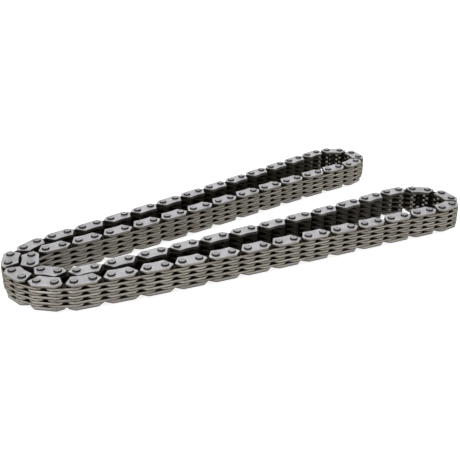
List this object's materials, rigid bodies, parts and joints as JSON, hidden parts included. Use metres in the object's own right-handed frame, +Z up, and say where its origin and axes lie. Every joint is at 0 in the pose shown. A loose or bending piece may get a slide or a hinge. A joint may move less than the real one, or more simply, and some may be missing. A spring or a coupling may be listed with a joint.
{
  "type": "inverted-tooth timing chain",
  "caption": "Endless silent timing chain of laminated toothed plates with outer guide plates and riveted pins, laid flat on its side in a narrow V.",
  "frame": {"origin": "under the middle of the whole loop's box, on the surface that the chain lies on", "axes": "+Z up along the pins, +X towards the two free ends of the V, +Y from the lower arm to the upper arm"},
  "size_m": [0.1782, 0.1394, 0.0112],
  "materials": {
    "guide_plates": "satin",
    "toothed_plates": "satin",
    "rivet_pins": "satin",
    "joined_links": "satin"
  },
  "bodies": {
    "chain_root": {"left_bend_links_1": "joined_links", "lower_left_links_7": "joined_links"},
    "left_bend_outer_links": {"left_bend_links_2": "joined_links", "left_bend_links_3": "joined_links", "left_bend_links_4": "joined_links"},
    "upper_rear_run_1": {"upper_rear_links_1": "joined_links", "upper_rear_links_2": "joined_links"},
    "upper_rear_run_2": {"upper_rear_links_3": "joined_links", "upper_rear_links_4": "joined_links"},
    "upper_end_turn_1": {"upper_end_links_1": "joined_links", "upper_end_links_2": "joined_links"},
    "upper_end_turn_2": {"upper_end_links_3": "joined_links", "upper_end_links_4": "joined_links"},
    "upper_front_run_1": {"upper_end_links_5": "joined_links", "upper_end_links_6": "joined_links", "upper_front_links_1": "joined_links"},
    "upper_front_run_2": {"upper_front_links_2": "joined_links", "upper_front_links_3": "joined_links"},
    "upper_front_run_3": {"upper_front_links_4": "joined_links"},
    "inner_bend_turn_1": {"inner_bend_links_1": "joined_links"},
    "inner_bend_turn_2": {"inner_bend_links_2": "joined_links"},
    "inner_bend_turn_3": {"inner_bend_links_3": "joined_links"},
    "inner_bend_turn_4": {"inner_bend_links_4": "joined_links"},
    "lower_front_run_1": {"lower_left_links_6": "joined_links", "lower_left_links_5": "joined_links", "lower_left_links_4": "joined_links", "lower_left_links_3": "joined_links", "lower_left_links_2": "joined_links", "lower_left_links_1": "joined_links", "left_inner_toothed_plate_1": "toothed_plates", "left_inner_toothed_plate_2": "toothed_plates", "left_inner_toothed_plate_3": "toothed_plates", "left_inner_toothed_plate_4": "toothed_plates"},
    "section_guide_link": {"upper_guide_plate": "guide_plates", "lower_guide_plate": "guide_plates", "middle_toothed_plate_1": "toothed_plates", "middle_toothed_plate_2": "toothed_plates", "middle_toothed_plate_3": "toothed_plates", "left_rivet_pin": "rivet_pins", "right_rivet_pin": "rivet_pins", "right_inner_toothed_plate_1": "toothed_plates", "right_inner_toothed_plate_2": "toothed_plates", "right_inner_toothed_plate_3": "toothed_plates", "right_inner_toothed_plate_4": "toothed_plates"},
    "lower_front_run_2": {"section_neighbour_links": "joined_links", "lower_front_links_2": "joined_links", "lower_front_links_1": "joined_links"},
    "lower_end_turn_1": {"lower_end_links_6": "joined_links", "lower_end_links_5": "joined_links"},
    "lower_end_turn_2": {"lower_end_links_4": "joined_links", "lower_end_links_3": "joined_links"},
    "lower_rear_run_1": {"lower_end_links_2": "joined_links", "lower_end_links_1": "joined_links", "lower_rear_links_3": "joined_links", "lower_rear_links_2": "joined_links"},
    "lower_rear_run_2": {"lower_rear_links_1": "joined_links", "inner_bend_links_8": "joined_links"},
    "inner_bend_turn_7": {"inner_bend_links_7": "joined_links"},
    "inner_bend_turn_6": {"inner_bend_links_6": "joined_links"},
    "inner_bend_turn_5": {"inner_bend_links_5": "joined_links"}
  },
  "joints": [
    {"name": "upper_arm_sway", "type": "hinge", "parent": "chain_root", "child": "left_bend_outer_links", "pos_m": [-0.08292, -0.04139, 0], "axis": [0, 0, 1], "range_deg": [-2.64, 9.23]},
    {"name": "upper_rear_run_1_hinge", "type": "hinge", "parent": "left_bend_outer_links", "child": "upper_rear_run_1", "pos_m": [-0.05501, -0.0158, 0], "axis": [0, 0, 1], "range_deg": [-2.37, 8.29]},
    {"name": "upper_rear_run_2_hinge", "type": "hinge", "parent": "upper_rear_run_1", "child": "upper_rear_run_2", "pos_m": [-0.0166, 0.01744, 0], "axis": [0, 0, 1], "range_deg": [-1.31, 4.57]},
    {"name": "upper_end_turn_1_hinge", "type": "hinge", "parent": "upper_rear_run_2", "child": "upper_end_turn_1", "pos_m": [0.02114, 0.05145, 0], "axis": [0, 0, 1], "range_deg": [-4.58, 1.31]},
    {"name": "upper_end_turn_2_hinge", "type": "hinge", "parent": "upper_end_turn_1", "child": "upper_end_turn_2", "pos_m": [0.04111, 0.06689, 0], "axis": [0, 0, 1], "range_deg": [-3.51, 1.01]},
    {"name": "upper_front_run_1_hinge", "type": "hinge", "parent": "upper_end_turn_2", "child": "upper_front_run_1", "pos_m": [0.05321, 0.05144, 0], "axis": [0, 0, 1], "range_deg": [-1.27, 4.44]},
    {"name": "upper_front_run_2_hinge", "type": "hinge", "parent": "upper_front_run_1", "child": "upper_front_run_2", "pos_m": [0.01268, 0.02106, 0], "axis": [0, 0, 1], "range_deg": [-0.32, 1.13]},
    {"name": "upper_front_run_3_hinge", "type": "hinge", "parent": "upper_front_run_2", "child": "upper_front_run_3", "pos_m": [-0.02767, -0.00981, 0], "axis": [0, 0, 1], "range_deg": [-0.552, 0.159]},
    {"name": "inner_bend_turn_1_hinge", "type": "hinge", "parent": "upper_front_run_3", "child": "inner_bend_turn_1", "pos_m": [-0.04816, -0.02481, 0], "axis": [0, 0, 1], "range_deg": [-2.68, 0.77]},
    {"name": "inner_bend_turn_2_hinge", "type": "hinge", "parent": "inner_bend_turn_1", "child": "inner_bend_turn_2", "pos_m": [-0.05862, -0.03201, 0], "axis": [0, 0, 1], "range_deg": [-4.79, 1.37]},
    {"name": "inner_bend_turn_3_hinge", "type": "hinge", "parent": "inner_bend_turn_2", "child": "inner_bend_turn_3", "pos_m": [-0.06927, -0.03893, 0], "axis": [0, 0, 1], "range_deg": [-7.84, 2.24]},
    {"name": "inner_bend_turn_4_hinge", "type": "hinge", "parent": "inner_bend_turn_3", "child": "inner_bend_turn_4", "pos_m": [-0.07868, -0.04719, 0], "axis": [0, 0, 1], "range_deg": [-8.64, 2.47]},
    {"name": "lower_arm_sway", "type": "hinge", "parent": "chain_root", "child": "lower_front_run_1", "pos_m": [-0.0779, -0.06312, 0], "axis": [0, 0, 1], "range_deg": [-5.06, 1.45]},
    {"name": "section_guide_link_hinge", "type": "hinge", "parent": "lower_front_run_1", "child": "section_guide_link", "pos_m": [-0.00104, -0.04195, 0], "axis": [0, 0, 1], "range_deg": [-5.77, 1.66]},
    {"name": "lower_front_run_2_hinge", "type": "hinge", "parent": "section_guide_link", "child": "lower_front_run_2", "pos_m": [0.01054, -0.03672, 0], "axis": [0, 0, 1], "range_deg": [-3.82, 1.09]},
    {"name": "lower_end_turn_1_hinge", "type": "hinge", "parent": "lower_front_run_2", "child": "lower_end_turn_1", "pos_m": [0.07397, -0.00748, 0], "axis": [0, 0, 1], "range_deg": [-0.189, 0.657]},
    {"name": "lower_end_turn_2_hinge", "type": "hinge", "parent": "lower_end_turn_1", "child": "lower_end_turn_2", "pos_m": [0.08376, 0.01089, 0], "axis": [0, 0, 1], "range_deg": [-2.99, 10.44]},
    {"name": "lower_rear_run_1_hinge", "type": "hinge", "parent": "lower_end_turn_2", "child": "lower_rear_run_1", "pos_m": [0.06021, 0.01187, 0], "axis": [0, 0, 1], "range_deg": [-10.47, 3]},
    {"name": "lower_rear_run_2_hinge", "type": "hinge", "parent": "lower_rear_run_1", "child": "lower_rear_run_2", "pos_m": [-0.00484, -0.02777, 0], "axis": [0, 0, 1], "range_deg": [-0.64, 2.22]},
    {"name": "inner_bend_turn_7_hinge", "type": "hinge", "parent": "lower_rear_run_2", "child": "inner_bend_turn_7", "pos_m": [-0.03801, -0.04652, 0], "axis": [0, 0, 1], "range_deg": [-1.09, 3.8]},
    {"name": "inner_bend_turn_6_hinge", "type": "hinge", "parent": "inner_bend_turn_7", "child": "inner_bend_turn_6", "pos_m": [-0.04902, -0.05285, 0], "axis": [0, 0, 1], "range_deg": [-0.89, 3.12]},
    {"name": "inner_bend_turn_5_hinge", "type": "hinge", "parent": "inner_bend_turn_6", "child": "inner_bend_turn_5", "pos_m": [-0.06024, -0.05878, 0], "axis": [0, 0, 1], "range_deg": [-0.22, 0.78]}
  ],
  "couplings": [
    {"joint": "upper_rear_run_1_hinge", "follows": "upper_arm_sway", "ratio": 0.89794},
    {"joint": "upper_rear_run_2_hinge", "follows": "upper_arm_sway", "ratio": 0.49483},
    {"joint": "upper_end_turn_1_hinge", "follows": "upper_arm_sway", "ratio": -0.49658},
    {"joint": "upper_end_turn_2_hinge", "follows": "upper_arm_sway", "ratio": -0.38043},
    {"joint": "upper_front_run_1_hinge", "follows": "upper_arm_sway", "ratio": 0.48075},
    {"joint": "upper_front_run_2_hinge", "follows": "upper_arm_sway", "ratio": 0.12218},
    {"joint": "upper_front_run_3_hinge", "follows": "upper_arm_sway", "ratio": -0.05963},
    {"joint": "inner_bend_turn_1_hinge", "follows": "upper_arm_sway", "ratio": -0.29066},
    {"joint": "inner_bend_turn_2_hinge", "follows": "upper_arm_sway", "ratio": -0.51893},
    {"joint": "inner_bend_turn_3_hinge", "follows": "upper_arm_sway", "ratio": -0.84878},
    {"joint": "inner_bend_turn_4_hinge", "follows": "upper_arm_sway", "ratio": -0.93556},
    {"joint": "section_guide_link_hinge", "follows": "lower_arm_sway", "ratio": 1.1408},
    {"joint": "lower_front_run_2_hinge", "follows": "lower_arm_sway", "ratio": 0.75408},
    {"joint": "lower_end_turn_1_hinge", "follows": "lower_arm_sway", "ratio": -0.12959},
    {"joint": "lower_end_turn_2_hinge", "follows": "lower_arm_sway", "ratio": -2.0632},
    {"joint": "lower_rear_run_1_hinge", "follows": "lower_arm_sway", "ratio": 2.0681},
    {"joint": "lower_rear_run_2_hinge", "follows": "lower_arm_sway", "ratio": -0.4393},
    {"joint": "inner_bend_turn_7_hinge", "follows": "lower_arm_sway", "ratio": -0.7507},
    {"joint": "inner_bend_turn_6_hinge", "follows": "lower_arm_sway", "ratio": -0.61531},
    {"joint": "inner_bend_turn_5_hinge", "follows": "lower_arm_sway", "ratio": -0.1535}
  ]
}
